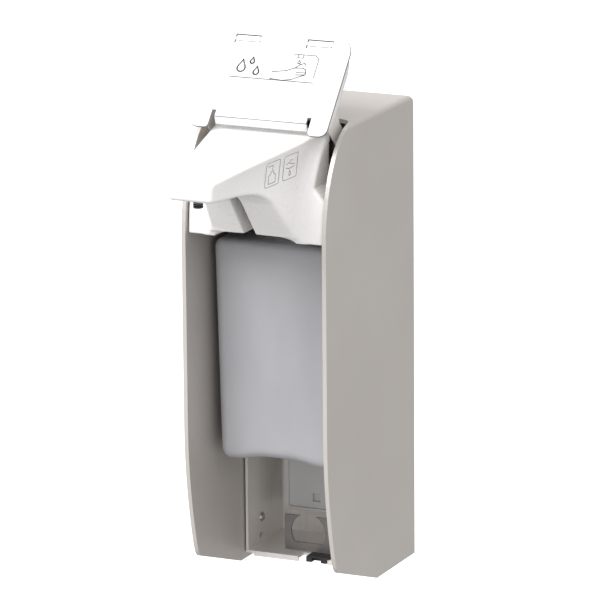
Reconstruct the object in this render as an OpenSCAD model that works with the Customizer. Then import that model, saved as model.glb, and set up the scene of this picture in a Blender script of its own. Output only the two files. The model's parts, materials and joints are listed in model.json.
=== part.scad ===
// Wall mounted touchless soap dispenser.
// x runs right, y runs towards the wall (the wall face is y = 0), z runs up.
// The origin is the centre of the wall screw pattern on the back of the chassis.

/* [Housing] */
// Outer width across the two side panels
housing_w = 110; // [100:1:132]
// Height of the housing, from the lower back edge to the top panel
housing_h = 339; // [300:1:410]
// Depth of the side panels, from the wall to their front edge
housing_d = 152; // [140:1:184]
// Thickness of the housing sheet
panel_t = 3; // [2:0.5:4]
// Height of the wall screw centre above the lower back edge
wall_centre_h = 180; // [150:1:190]

/* [Wall fixing] */
// Spacing of the wall screws across
screw_span_x = 60; // [40:1:70]
// Spacing of the wall screws up
screw_span_z = 120; // [100:1:124]
// Radius of the wall screw holes
wall_hole_r = 3; // [2.5:0.1:3.5]

/* [Chassis] */
// Thickness of the stainless chassis sheet
sheet_t = 1.8; // [1.2:0.1:2]
// Depth of the chassis side flanges
flange_d = 61.5; // [55:0.5:64]
// Radius of the shank of the chassis screws
chassis_screw_r = 2; // [1.5:0.1:2.2]

/* [Bottle] */
// Height of the bottle from its base to its shoulder
bottle_h = 161; // [132:1:162]
// Half width of the bottle at its shoulder
bottle_half_w = 48; // [40:0.5:48.5]
// Half depth of the bottle at its shoulder
bottle_half_d = 39.5; // [33:0.5:40]
// Wall thickness of the bottle
bottle_wall = 1.4; // [1:0.1:2]

/* [Pump and drive] */
// Stroke of the pump
stroke = 10; // [6:0.5:10]
// Outer radius of the spout tube
spout_r = 3.2; // [2.6:0.1:3.4]
// Radial clearance of every sliding and turning fit
fit_gap = 0.05; // [0.02:0.01:0.08]
// Gear module
gear_module = 1; // [0.9:0.05:1.05]

/* [Hood] */
// Reach of the nose in front of the side panels
nose_reach = 98.5; // [80:0.5:118]
// Half width of the tip of the nose
tip_half_w = 15.2; // [13:0.1:18]
// Wall thickness of the hood
hood_t = 2.2; // [1.8:0.1:2.6]

/* [Flap] */
// Length of the flap plate up its slope
flap_len = 80.7; // [67:0.1:97]
// Lean of the flap plate above horizontal
flap_lean = 49.3; // [44:0.1:55]
// Thickness of the flap sheet
flap_t = 1.5; // [1:0.1:2]

/* [Hidden] */
$fn = 48;
base_z = -wall_centre_h;
inner_half = housing_w / 2 - panel_t;
// Everything at the top and front is drawn at its place in a 339 high, 152 deep housing, then moved.
top_shift = housing_h - 339;
front_shift = 152 - housing_d;
wall_back = -front_shift;
bend_r = 4;
back_bend_r = 8;
mouth_y = -97;
mouth_corner_r = 12;
slant_y = 67.6;

// Chassis
flange_in = inner_half - 3;
flange_out = flange_in + sheet_t;
chassis_top = housing_h - 27;
floor_z = 5;
floor_top = floor_z + sheet_t;
lip_drop = 2;
notch_x = [-9.7, 13.2];
notch_depth = 10;
chassis_screw_y = -38;
chassis_screw_z = [25.6, housing_h - 49];
spare_hole_y = -39.5;
spare_hole_z = 12;
bush_r = 4;

// Upright bracket
bracket_x = -8;
bracket_half = 18.3;
bracket_y = -46;
bracket_top = 33;
d_hole_r = 13.4;
d_hole_z = 21;
d_flat_z = 13;

// Battery compartment
box_half = 39;
box_z = [29, 93];
box_front = -21.6;
box_back = -2.1;
pocket_half = 36;
cell_r = 7.2;
cell_len = 49.5;
cell_pitch = 16.4;
cell_y = -11.15;
cell_z = 37.3;
cell_count = 4;
cover_y = [-20.4, -18.7];
cover_half = 37;
rail_gap = 0.15;
latch_x = -13.4;
latch_z = 39;
latch_size = 6;

// Drive unit, in the moved frame
frame_half = inner_half - 7;
frame_wall = 2.5;
frame_z = [262, 328];
frame_front = -112;
pump_y = -79;
neck_r = 14;
neck_bore_r = 11.5;
neck_top = 266;
collar_r = 17;
collar_z = [252, 270.3];
clip_r = [collar_r + 0.3, 21];
clip_z = [265, 270];
cylinder_r = 9.5;
piston_r = 7;
stem_r = 4;
head_r = 10;
head_z = [290, 321];
spout_z = 313;
nozzle_y = -238;
nozzle_r = spout_r + 0.6;
nozzle_bore_r = 1.8;
elbow_r = 6;
nozzle_z = [302, spout_z - elbow_r];
rod_x = 24;
rod_y = -50;
rod_r = 2.5;
gear_y = -34;
gear_z = 296;
pinion_teeth = 12;
gear_teeth = 36;
pinion_r = pinion_teeth * gear_module / 2;
gear_r = gear_teeth * gear_module / 2;
rack_y = gear_y - pinion_r;
mesh_angle = 45;
motor_y = gear_y + (gear_r + pinion_r) * cos(mesh_angle);
motor_z = gear_z + (gear_r + pinion_r) * sin(mesh_angle);
motor_r = 10;
bearing_x = 12;
bearing_t = 2;
bearing_front = -40.5;
axle_r = 2;
gear_x = [5.2, 10.2];
board_y = -36;
board_hole_z = [275, 313];
board_x = -frame_half + frame_wall + 2.5;
board_t = 1.6;
bottle_top = 251;
bottle_base = bottle_top - bottle_h;
bottle_r = 7;
bottle_taper = [3, 2];
cylinder_low = 216;
nipple_r = 2.6;
spring_shut = 20;
piston_z = cylinder_low + spring_shut + stroke;
dip_end = bottle_base + 14;

// Hood
hood_half = inner_half - 0.4;
gap_half = inner_half - 10;
gap_z = [291, 300];
hood_back = -118;
tip_y = -152 - nose_reach;
tip_shift = nose_reach - 98.5;
slot_half = 4;
slot_wall_t = 1.6;
slot_top = 316.8;
nozzle_hole_r = 6;
rim_z = 260;
rim_arch = 6;
boss_x = 37;
boss_z = 271;
boss_r = 4;
hood_screw_r = 1.5;
lens_x = 9;
lens_y = -214;
lens_r = 3.5;
lamp_x = 9.5;
lamp_y = -238;
lamp_r = 1.6;

// Flap
flap_foot = [-146, 335];
flap_half = inner_half;
pivot = [-104, 322];
pivot_r = 2.5;
arm_x = [inner_half - 5.6, inner_half - 4.1];
flap_corner_r = 14;
lug_corner_r = 6;
lug_low = 1.5;
mid_edge = 10.5;
relief = 5;
relief_x = [35, 37.5];
fold_low = [[8.4, 3.4], [6.9, 3.4]];
louvre_x = 27.3;
louvre_half = 9.5;
louvre_v = [flap_len - 10.6, flap_len - 5.9];
louvre_slot = 1.1;
louvre_rise = 1;

// Points of an arc about [cx, cy], from angle a0 to a1
function arc(cx, cy, r, a0, a1, n = 8) =
    [for (i = [0:n]) let (a = a0 + (a1 - a0) * i / n) [cx + r * cos(a), cy + r * sin(a)]];

// Points of a cubic curve with end points a, d and control points b, c
function curve(a, b, c, d, n = 14) =
    [for (i = [0:n]) let (t = i / n, s = 1 - t)
        s * s * s * a + 3 * s * s * t * b + 3 * s * t * t * c + t * t * t * d];

// Moves a part from heights above the lower back edge to the wall screw origin
module from_bottom() {
    translate([0, 0, base_z]) children();
}

// Moves a part of the top group with the height and depth of the housing
module top_group() {
    translate([0, front_shift, base_z + top_shift]) children();
}

// Extrudes an outline drawn in (y, z) along x, centred
module along_x(width) {
    rotate([90, 0, 90]) linear_extrude(width, center = true) children();
}

// Extrudes an outline drawn in (y, z) from x0 to x1
module between_x(x0, x1) {
    translate([x0, 0, 0]) rotate([90, 0, 90]) linear_extrude(x1 - x0) children();
}

// Extrudes an outline drawn in (x, z) from y0 down to y1
module along_y(y0, y1) {
    translate([0, y0, 0]) rotate([90, 0, 0]) linear_extrude(y0 - y1) children();
}

// A box given by its two corners
module block(low, high) {
    translate(low) cube(high - low);
}

// A cylinder along x from x0 to x1
module rod_along_x(x0, x1, y, z, r) {
    translate([x0, y, z]) rotate([0, 90, 0]) cylinder(h = x1 - x0, r = r);
}

// A cylinder along y from y0 (rear) to y1 (front)
module rod_along_y(y0, y1, x, z, r) {
    translate([x, y0, z]) rotate([90, 0, 0]) cylinder(h = y0 - y1, r = r);
}

// The same part on both sides of the middle plane
module both_sides() {
    children();
    mirror([1, 0, 0]) children();
}

// ---- Housing ----

// Front edge of a side panel, from the top down to the slanted lower edge
function panel_front(d, h) = concat(
    curve([-d + 46, h], [-d + 22, h - 3], [-d, h - 36], [-d, h - 79]),
    curve([-d, 122], [-d + 0.2, 86], [-d + 6, 58], [-d + 12, 34]),
    arc(-d + 23.6, 31, 10, 196, 250, 5));

module panel_outline(d, h) {
    polygon(concat(
        arc(-back_bend_r, h - back_bend_r, back_bend_r, 0, 90),
        panel_front(d, h),
        [[-slant_y, 0], [0, 0]]));
}

module inside_outline() {
    polygon(concat(
        [[5, -5], [5, chassis_top + 3], [-panel_t, chassis_top + 3]],
        arc(-back_bend_r, housing_h - back_bend_r, back_bend_r - panel_t, 0, 90),
        [[-housing_d - 20, housing_h - panel_t], [-housing_d - 20, -5]]));
}

// Front view of the housing, with its rounded upper corners
module arch_outline(half, top, r) {
    polygon(concat([[-half, -10], [half, -10]],
        arc(half - r, top - r, r, 0, 90),
        arc(-half + r, top - r, r, 90, 180)));
}

module housing() {
    mouth_back = mouth_y + front_shift;
    color([0.69, 0.67, 0.64]) from_bottom() difference() {
        intersection() {
            along_x(housing_w) panel_outline(housing_d, housing_h);
            along_y(1, -housing_d - 1) arch_outline(housing_w / 2, housing_h, bend_r);
        }
        intersection() {
            along_x(housing_w) inside_outline();
            along_y(6, -housing_d - 21) arch_outline(inner_half, housing_h - panel_t, 1.5);
        }
        translate([0, 0, housing_h - 20]) linear_extrude(40) polygon(concat(
            [[inner_half, -housing_d - 5]],
            arc(inner_half - mouth_corner_r, mouth_back - mouth_corner_r, mouth_corner_r, 0, 90),
            arc(-inner_half + mouth_corner_r, mouth_back - mouth_corner_r, mouth_corner_r, 90, 180),
            [[-inner_half, -housing_d - 5]]));
        both_sides() for (z = chassis_screw_z)
            rod_along_x(inner_half - 1, inner_half + panel_t / 2, chassis_screw_y, z, chassis_screw_r);
    }
}

// ---- Chassis ----

module chassis() {
    color([0.62, 0.62, 0.61]) from_bottom() difference() {
        union() {
            block([-flange_out, -sheet_t, floor_z], [flange_out, 0, chassis_top]);
            both_sides() between_x(flange_in, flange_out) polygon(concat(
                [[0, floor_z], [0, chassis_top], [-flange_d + 8, chassis_top]],
                arc(-flange_d + 8, chassis_top - 8, 8, 90, 180),
                arc(-flange_d + 4, floor_z + 4, 4, 180, 270, 5)));
            block([-flange_out, -flange_d, floor_z], [flange_out, 0, floor_top]);
            block(
                [-flange_in + 4, -flange_d, floor_z - lip_drop],
                [flange_in - 4, -flange_d + 1.5, floor_top]);
        }
        block([notch_x[0], -flange_d - 1, 0], [notch_x[1], -flange_d + notch_depth, floor_top + 1]);
        for (x = [-1, 1], z = [-1, 1])
            rod_along_y(1, -sheet_t - 1, x * screw_span_x / 2, wall_centre_h + z * screw_span_z / 2,
                wall_hole_r);
        both_sides() {
            for (z = chassis_screw_z)
                rod_along_x(flange_in - 1, flange_out + 1, chassis_screw_y, z, chassis_screw_r);
            rod_along_x(flange_in - 1, flange_out + 1, spare_hole_y, spare_hole_z, 2.4);
            for (z = [frame_z[0] + 10, frame_z[1] - 22])
                rod_along_y(1, -sheet_t - 1, 34, z + top_shift, 1.7);
        }
    }
}

module upright_bracket() {
    low = bracket_x - bracket_half;
    high = bracket_x + bracket_half;
    color([0.7, 0.7, 0.69]) from_bottom() difference() {
        union() {
            block([low, bracket_y - 1.5, floor_top], [high, bracket_y, bracket_top]);
            block([low, bracket_y - 1.5, floor_top], [high, bracket_y + 8, floor_top + 1.5]);
        }
        difference() {
            rod_along_y(bracket_y + 1, bracket_y - 3, bracket_x, d_hole_z, d_hole_r);
            block([low, bracket_y - 4, 0], [high, bracket_y + 2, d_flat_z]);
        }
    }
}

module drain_clip() {
    color([0.08, 0.08, 0.08]) from_bottom() difference() {
        union() {
            block([-3, -flange_d - 1, floor_z - 1.2], [notch_x[1], -flange_d + notch_depth, floor_top]);
            block(
                [-3, -flange_d - 1, floor_top],
                [notch_x[1] + 1.6, -flange_d + notch_depth + 1, floor_top + 1.2]);
        }
        block([1.5, -flange_d - 2, floor_z - 2], [8.5, -flange_d + 4, floor_top + 0.4]);
    }
}

module panel_bushes() {
    color([0.75, 0.75, 0.75]) from_bottom() both_sides() for (z = chassis_screw_z) difference() {
        rod_along_x(flange_out, inner_half, chassis_screw_y, z, bush_r);
        rod_along_x(flange_out - 1, inner_half + 1, chassis_screw_y, z, chassis_screw_r);
    }
}

// A round head as a slice of a ball, standing on the plane x = 0 towards -x
module round_head(r, h) {
    ball = (r * r + h * h) / (2 * h);
    rotate([0, -90, 0]) rotate_extrude() difference() {
        intersection() {
            translate([0, h - ball]) circle(ball, $fn = 96);
            square([r + 1, h + 1]);
        }
        translate([-1, h - 0.7]) square([1.6, 2]);
    }
}

module chassis_screws() {
    color([0.8, 0.8, 0.8]) from_bottom() both_sides() for (z = chassis_screw_z) {
        translate([flange_in, chassis_screw_y, z]) round_head(3.6, 2.2);
        rod_along_x(flange_in, inner_half + panel_t / 2, chassis_screw_y, z, chassis_screw_r);
    }
}

// ---- Battery compartment ----

module battery_box() {
    color([0.86, 0.86, 0.85]) from_bottom() difference() {
        block([-box_half, box_front, box_z[0]], [box_half, box_back, box_z[1]]);
        block([-pocket_half, cell_y - cell_r - 0.1, box_z[0] + 2.5],
            [pocket_half, cell_y + cell_r + 0.1, box_z[1] - 2.5]);
        block([-cover_half - rail_gap, cover_y[0] - 0.1, box_z[0] + 2],
            [cover_half + rail_gap, cover_y[1] + 0.1, box_z[1] + 1]);
        block([-pocket_half + 1, box_front - 1, box_z[0] + 2], [pocket_half - 1, cover_y[1], box_z[1] + 1]);
    }
}

// Middle of each cell across the box
function cell_x(i) = (i - (cell_count - 1) / 2) * cell_pitch;

module battery_cells() {
    color([0.25, 0.25, 0.28]) from_bottom() for (i = [0:cell_count - 1])
        translate([cell_x(i), cell_y, cell_z]) {
            cylinder(h = cell_len, r = cell_r);
            translate([0, 0, cell_len]) cylinder(h = 1, r = 2.7);
        }
}

module battery_contacts() {
    color([0.8, 0.78, 0.7]) from_bottom() for (i = [0:cell_count - 1])
        translate([cell_x(i), cell_y, 0]) {
            translate([0, 0, box_z[0] + 2.5]) cylinder(h = cell_z - box_z[0] - 2.5, r1 = 5.5, r2 = 3);
            translate([-5, -5, cell_z + cell_len + 1]) cube([10, 10, 0.8]);
        }
}

module battery_cover() {
    color([0.88, 0.88, 0.87]) from_bottom() difference() {
        block([-cover_half, cover_y[0], box_z[0] + 2.1], [cover_half, cover_y[1], box_z[1] - 0.5]);
        block([latch_x - latch_size / 2, cover_y[0] - 1, latch_z - latch_size / 2],
            [latch_x + latch_size / 2, cover_y[1] + 1, latch_z + latch_size / 2]);
        for (k = [0:3])
            block(
                [-12, cover_y[0] - 1, box_z[1] - 6 - 3 * k],
                [12, cover_y[0] + 0.6, box_z[1] - 4.8 - 3 * k]);
    }
}

// ---- Drive unit ----

// Outline of the opening in the frame that the pump drops out of, open to the front
module pump_gap(r) {
    translate([0, pump_y]) circle(r);
    translate([-r, frame_front - 1]) square([2 * r, pump_y - frame_front + 1]);
}

module drive_frame() {
    back = -sheet_t + wall_back;
    high_back = -panel_t - 0.2 + wall_back;
    back_top = chassis_top - top_shift + 2;
    color([0.3, 0.3, 0.31]) top_group() difference() {
        union() {
            difference() {
                block([-frame_half, frame_front, frame_z[0]], [frame_half, back, frame_z[0] + 3]);
                translate([0, 0, frame_z[0] - 1]) linear_extrude(5) pump_gap(collar_r + 1.5);
            }
            both_sides() {
                block(
                    [frame_half - frame_wall, frame_front, frame_z[0]],
                    [frame_half, high_back, frame_z[1]]);
                block([30, frame_front, frame_z[0]], [frame_half, frame_front + 3, 281]);
                block(
                    [bearing_x, bearing_front, frame_z[0]],
                    [bearing_x + bearing_t, high_back, frame_z[1] - 1]);
            }
            block([-frame_half, back - 2.5, frame_z[0]], [frame_half, back, back_top]);
            for (side = [-1, 1])
                translate([side * rod_x, rod_y, frame_z[0]]) cylinder(h = 9, r = rod_r + 2);
        }
        for (side = [-1, 1])
            translate([side * rod_x, rod_y, frame_z[0] + 1]) cylinder(h = 20, r = rod_r);
        rod_along_x(-bearing_x - bearing_t - 1, bearing_x + bearing_t + 1, gear_y, gear_z, axle_r);
        rod_along_x(bearing_x - 1, bearing_x + bearing_t + 1, motor_y, motor_z, 3);
        for (side = [-1, 1])
            rod_along_x(bearing_x - 1, bearing_x + bearing_t + 1, motor_y, motor_z + 7 * side, 1);
        both_sides() {
            rod_along_x(frame_half - frame_wall - 1, frame_half + 1, pivot[0], pivot[1], pivot_r);
            rod_along_y(frame_front + 4, frame_front - 1, boss_x, boss_z, hood_screw_r);
            for (z = [frame_z[0] + 10, frame_z[1] - 22])
                rod_along_y(back + 1, back - 3.5, 34, z, 1.7);
        }
        for (z = board_hole_z)
            rod_along_x(-frame_half - 1, -frame_half + frame_wall + 1, board_y, z, 1.2);
    }
}

module frame_screws() {
    color([0.8, 0.8, 0.8]) top_group() both_sides() for (z = [frame_z[0] + 10, frame_z[1] - 22]) {
        rod_along_y(wall_back - 0.2, wall_back - sheet_t - 2.5, 34, z, 1.7);
        rod_along_y(wall_back - sheet_t - 2.5, wall_back - sheet_t - 4.5, 34, z, 3.2);
    }
}

module guide_rods() {
    color([0.8, 0.8, 0.8]) top_group() for (side = [-1, 1])
        translate([side * rod_x, rod_y, frame_z[0] + 1]) cylinder(h = 72, r = rod_r);
}

module motor() {
    face = bearing_x + bearing_t;
    color([0.72, 0.72, 0.7]) top_group() difference() {
        union() {
            rod_along_x(face, face + 25, motor_y, motor_z, motor_r);
            rod_along_x(bearing_x, face, motor_y, motor_z, 3);
            rod_along_x(face + 25, face + 26.5, motor_y, motor_z, 4);
        }
        rod_along_x(bearing_x - 1, face + 8, motor_y, motor_z, 1 + fit_gap);
        for (side = [-1, 1])
            rod_along_x(face - 1, face + 3, motor_y, motor_z + 7 * side, 1);
    }
}

module motor_screws() {
    face = bearing_x + bearing_t;
    color([0.8, 0.8, 0.8]) top_group() for (side = [-1, 1]) {
        rod_along_x(bearing_x, face + 3, motor_y, motor_z + 7 * side, 1);
        rod_along_x(bearing_x - 1.2, bearing_x, motor_y, motor_z + 7 * side, 1.9);
    }
}

module gear_axle() {
    reach = bearing_x + bearing_t;
    color([0.8, 0.8, 0.8]) top_group() rod_along_x(-reach, reach, gear_y, gear_z, axle_r);
}

module control_board() {
    color([0.1, 0.35, 0.2]) top_group() difference() {
        block([board_x, -60, 268], [board_x + board_t, -12, 320]);
        for (z = board_hole_z)
            rod_along_x(board_x - 1, board_x + board_t + 1, board_y, z, 1.2);
    }
}

module board_parts() {
    top = board_x + board_t;
    color([0.12, 0.12, 0.12]) top_group() {
        block([top, -34, 286], [top + 1.8, -22, 298]);
        block([top, -54, 280], [top + 5, -48, 292]);
        rod_along_x(top, top + 7, -50, 306, 3.5);
        block([top, -26, 304], [top + 3, -18, 309]);
    }
}

module board_screws() {
    color([0.8, 0.8, 0.8]) top_group() for (z = board_hole_z) {
        rod_along_x(-frame_half, board_x + board_t, board_y, z, 1.2);
        rod_along_x(board_x + board_t, board_x + board_t + 1.4, board_y, z, 2.2);
        difference() {
            rod_along_x(-frame_half + frame_wall, board_x, board_y, z, 2.6);
            rod_along_x(-frame_half, board_x + 1, board_y, z, 1.2);
        }
    }
}

module neck_clip() {
    color([0.85, 0.85, 0.85]) top_group() translate([0, pump_y, clip_z[0]]) difference() {
        union() {
            cylinder(h = clip_z[1] - clip_z[0], r = clip_r[1]);
            both_sides() block([clip_r[0] + 1, -5, 0], [clip_r[1] + 7, 5, 2]);
        }
        translate([0, 0, -1]) cylinder(h = 10, r = clip_r[0]);
        block([-13, -clip_r[1] - 5, -1], [13, 0, 10]);
    }
}

// ---- Gears and yoke ----

// Outline of a spur gear with straight-sided teeth
module gear_outline(teeth, phase) {
    r = teeth * gear_module / 2;
    step = 360 / teeth;
    root = r - 1.2 * gear_module;
    tip = r + 0.85 * gear_module;
    polygon([for (i = [0:teeth - 1], k = [[-0.26, root], [-0.11, tip], [0.11, tip], [0.26, root]])
        let (a = phase + (i + k[0]) * step) k[1] * [cos(a), sin(a)]]);
}

module drive_gear() {
    color([0.93, 0.92, 0.88]) top_group() translate([0, gear_y, gear_z]) difference() {
        union() {
            between_x(gear_x[0], gear_x[1]) gear_outline(gear_teeth, 5);
            between_x(-4.5, gear_x[0]) gear_outline(pinion_teeth, 0);
            rod_along_x(gear_x[1], bearing_x - 0.4, 0, 0, 4);
            rod_along_x(-bearing_x + 0.4, -4.5, 0, 0, 4);
        }
        rod_along_x(-20, 20, 0, 0, axle_r + fit_gap);
        for (i = [0:5])
            rotate([60 * i, 0, 0]) rod_along_x(gear_x[0] - 1, gear_x[1] + 1, 11, 0, 2.6);
    }
}

module motor_shaft() {
    color([0.8, 0.8, 0.8]) top_group() rod_along_x(3, 21, motor_y, motor_z, 1);
}

module motor_pinion() {
    color([0.85, 0.7, 0.35]) top_group() translate([0, motor_y, motor_z]) difference() {
        between_x(gear_x[0] - 0.7, gear_x[1] - 0.2) gear_outline(pinion_teeth, 0);
        rod_along_x(0, 20, 0, 0, 1);
    }
}

// Toothed edge of the rack, drawn in (y, z) about the middle of the pinion
module rack_outline() {
    pitch = PI * gear_module;
    back = rack_y - 4;
    polygon(concat(
        [[back, gear_z + 30], [back, gear_z - 16], [rack_y - 1.2, gear_z - 16]],
        [for (i = [-4:4], k = [[-0.26, -1.2], [-0.11, 0.85], [0.11, 0.85], [0.26, -1.2]])
            [rack_y + k[1] * gear_module, gear_z + (i + 0.5 + k[0]) * pitch]],
        [[rack_y - 1.2, gear_z + 30]]));
}

module press_yoke() {
    color([0.2, 0.2, 0.21]) top_group() difference() {
        union() {
            along_x(8.6) rack_outline();
            block([-30, rod_y - 6, 326], [30, rack_y - 1.2, 332]);
            block([-9, pump_y - 11, 324], [9, rod_y, 332]);
            for (side = [-1, 1])
                translate([side * rod_x, rod_y, 320]) cylinder(h = 12, r = rod_r + 2.5);
        }
        for (side = [-1, 1])
            translate([side * rod_x, rod_y, 300]) cylinder(h = 40, r = rod_r + fit_gap);
    }
}

module press_pad() {
    color([0.1, 0.1, 0.1]) top_group() translate([0, pump_y, head_z[1] + 0.3])
        cylinder(h = 324 - head_z[1] - 0.3, r = 8);
}

// ---- Bottle and pump ----

// Tapered body with rounded corners, inset by a wall thickness
module bottle_body(inset) {
    low_half_w = bottle_half_w - bottle_taper[0];
    low_half_d = bottle_half_d - bottle_taper[1];
    hull() for (sx = [-1, 1], sy = [-1, 1]) {
        translate([sx * (bottle_half_w - bottle_r), pump_y + sy * (bottle_half_d - bottle_r), 0])
            translate([0, 0, bottle_top - bottle_r]) sphere(bottle_r - inset, $fn = 28);
        translate([sx * (low_half_w - bottle_r), pump_y + sy * (low_half_d - bottle_r), 0])
            translate([0, 0, bottle_base + bottle_r]) sphere(bottle_r - inset, $fn = 28);
    }
}

module bottle() {
    color([0.8, 0.84, 0.88, 0.7]) top_group() difference() {
        union() {
            bottle_body(0);
            translate([0, pump_y, bottle_top - 3]) cylinder(h = neck_top - bottle_top + 3, r = neck_r);
        }
        bottle_body(bottle_wall);
        translate([0, pump_y, bottle_top - 8]) cylinder(h = 40, r = neck_bore_r);
    }
}

module pump_collar() {
    color([0.9, 0.9, 0.9]) top_group() translate([0, pump_y, 0]) difference() {
        translate([0, 0, collar_z[0]]) cylinder(h = collar_z[1] - collar_z[0], r = collar_r);
        translate([0, 0, collar_z[0] - 1]) cylinder(h = neck_top + 2 - collar_z[0] + 1, r = neck_r + 0.2);
        translate([0, 0, collar_z[0]]) cylinder(h = 30, r = 6);
    }
}

module pump_cylinder() {
    color([0.85, 0.85, 0.86]) top_group() translate([0, pump_y, 0]) difference() {
        union() {
            translate([0, 0, neck_top]) cylinder(h = 2, r = neck_r);
            translate([0, 0, cylinder_low]) cylinder(h = neck_top - cylinder_low, r = cylinder_r);
            translate([0, 0, cylinder_low - 9]) cylinder(h = 9, r = nipple_r);
        }
        translate([0, 0, cylinder_low + 2.5])
            cylinder(h = neck_top - cylinder_low - 4.5, r = piston_r + fit_gap);
        translate([0, 0, neck_top - 3]) cylinder(h = 10, r = stem_r + 0.3);
        translate([0, 0, cylinder_low - 10]) cylinder(h = 20, r = 1.5);
    }
}

module dip_tube() {
    color([0.85, 0.87, 0.88]) top_group() translate([0, pump_y, 0]) difference() {
        translate([0, 0, dip_end]) cylinder(h = cylinder_low - 1 - dip_end, r = 3.7);
        translate([0, 0, dip_end - 1]) cylinder(h = 200, r = nipple_r);
    }
}

module valve_ball() {
    color([0.8, 0.8, 0.8]) top_group() translate([0, pump_y, cylinder_low + 4.8]) sphere(2.4);
}

// Round wire wound into a helix of the given height
module coil(r, wire_r, height, turns, steps = 18, sides = 6) {
    n = turns * steps;
    points = [for (i = [0:n], j = [0:sides - 1])
        let (a = 360 * i / steps, b = 360 * j / sides, q = r + wire_r * cos(b))
        [q * cos(a), q * sin(a), wire_r + (height - 2 * wire_r) * i / n + wire_r * sin(b)]];
    sleeve = [for (i = [0:n - 1], j = [0:sides - 1])
        let (k = (j + 1) % sides) [i * sides + j, (i + 1) * sides + j, (i + 1) * sides + k, i * sides + k]];
    polyhedron(points, concat(sleeve, [[for (j = [0:sides - 1]) j]],
        [[for (j = [sides - 1:-1:0]) n * sides + j]]), convexity = 6);
}

module pump_spring() {
    low = cylinder_low + 2.7;
    color([0.8, 0.8, 0.8]) top_group() translate([0, pump_y, low])
        coil(5.6, 0.55, piston_z - low - 0.1, 6);
}

module pump_piston() {
    color([0.2, 0.2, 0.2]) top_group() translate([0, pump_y, piston_z]) difference() {
        union() {
            cylinder(h = 8, r = piston_r);
            cylinder(h = head_z[0] + 6 - piston_z, r = stem_r);
        }
        translate([0, 0, -1]) cylinder(h = 100, r = 1.6);
    }
}

module pump_head() {
    color([0.9, 0.9, 0.9]) top_group() difference() {
        union() {
            translate([0, pump_y, 0]) rotate_extrude() polygon(concat(
                [[0, head_z[0]], [head_r - 2, head_z[0]], [head_r, head_z[0] + 2]],
                arc(head_r - 4, head_z[1] - 4, 4, 0, 90),
                [[0, head_z[1]]]));
            rod_along_y(pump_y - 4, pump_y - 15, 0, spout_z, spout_r + 1.8);
        }
        rod_along_y(pump_y, pump_y - 16, 0, spout_z, spout_r);
        translate([0, pump_y, head_z[0] - 1]) cylinder(h = 7, r = stem_r);
    }
}

module spout() {
    bend_y = nozzle_y - tip_shift + elbow_r;
    color([0.8, 0.8, 0.8]) top_group() difference() {
        union() {
            rod_along_y(pump_y, bend_y, 0, spout_z, spout_r);
            translate([0, bend_y, spout_z - elbow_r]) rotate([0, 90, 0]) rotate([0, 0, 180])
                rotate_extrude(angle = 90) translate([elbow_r, 0]) circle(spout_r);
            translate([0, bend_y - elbow_r, spout_z - elbow_r - 1.5]) cylinder(h = 1.5, r = spout_r);
        }
        rod_along_y(pump_y - 9, bend_y, 0, spout_z, nozzle_bore_r);
        translate([0, bend_y, spout_z - elbow_r]) rotate([0, 90, 0]) rotate([0, 0, 180])
            rotate_extrude(angle = 90) translate([elbow_r, 0]) circle(nozzle_bore_r);
        translate([0, bend_y - elbow_r, spout_z - elbow_r - 5]) cylinder(h = 5, r = nozzle_bore_r);
    }
}

module nozzle() {
    step = spout_z - elbow_r - 1.5;
    color([0.35, 0.35, 0.36]) top_group() translate([0, nozzle_y - tip_shift, 0]) difference() {
        translate([0, 0, nozzle_z[0]]) cylinder(h = nozzle_z[1] - nozzle_z[0], r = nozzle_r);
        translate([0, 0, nozzle_z[0] - 1]) cylinder(h = 20, r = nozzle_bore_r);
        translate([0, 0, step]) cylinder(h = 20, r = spout_r);
    }
}

// ---- Hood ----

// Side view of the fascia, a little behind the front edge of the side panels
module fascia_side(inset) {
    polygon(concat(
        curve([-109 + inset, 333], [-130 + inset, 330], [-149 + inset, 302], [-149 + inset, rim_z]),
        [[-149 + inset, rim_z - inset], [-100, rim_z - inset], [-100, 333]]));
}

// Front view of the fascia: full width over the bottle, stepped in beside the arms of the flap
module fascia_face(inset) {
    wide = hood_half - inset;
    narrow = gap_half - inset;
    polygon([[-wide, rim_z - inset], [wide, rim_z - inset], [wide, gap_z[0] - inset],
        [narrow, gap_z[1] - inset], [narrow, 334 - inset], [-narrow, 334 - inset],
        [-narrow, gap_z[1] - inset], [-wide, gap_z[0] - inset]]);
}

module fascia(inset) {
    intersection() {
        along_x(housing_w) fascia_side(inset);
        along_y(-90, -160) fascia_face(inset);
    }
}

// Side view of the nose; the underside sweeps down to the rim over the bottle
module nose_outline(inset) {
    polygon(concat(
        [[-100, 334.8 - inset], [-122, 334.8 - inset], [tip_y + 4, 322.6 - inset]],
        arc(tip_y + 4, 318.6, 4 - inset, 95, 180, 5),
        arc(tip_y + 3, 311.2, 3 - inset, 180, 262, 5),
        [[-212, 305.8 + inset]],
        curve([-208, 305.4 + inset], [-194, 304 + inset], [-187, 301 + inset], [-180, 294 + inset], 8),
        [[-157 + inset, rim_z + rim_arch], [-140, rim_z + rim_arch], [-100, 300]]));
}

// Plan view of the nose, widening towards the housing
module nose_plan(inset) {
    tip = tip_half_w - inset;
    wide = gap_half - inset;
    polygon([[-tip, tip_y - 5], [tip, tip_y - 5], [tip, tip_y], [wide, -122], [wide, -100],
        [-wide, -100], [-wide, -122], [-tip, tip_y]]);
}

module nose(inset) {
    intersection() {
        along_x(housing_w) nose_outline(inset);
        translate([0, 0, 200]) linear_extrude(200) nose_plan(inset);
    }
}

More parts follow.
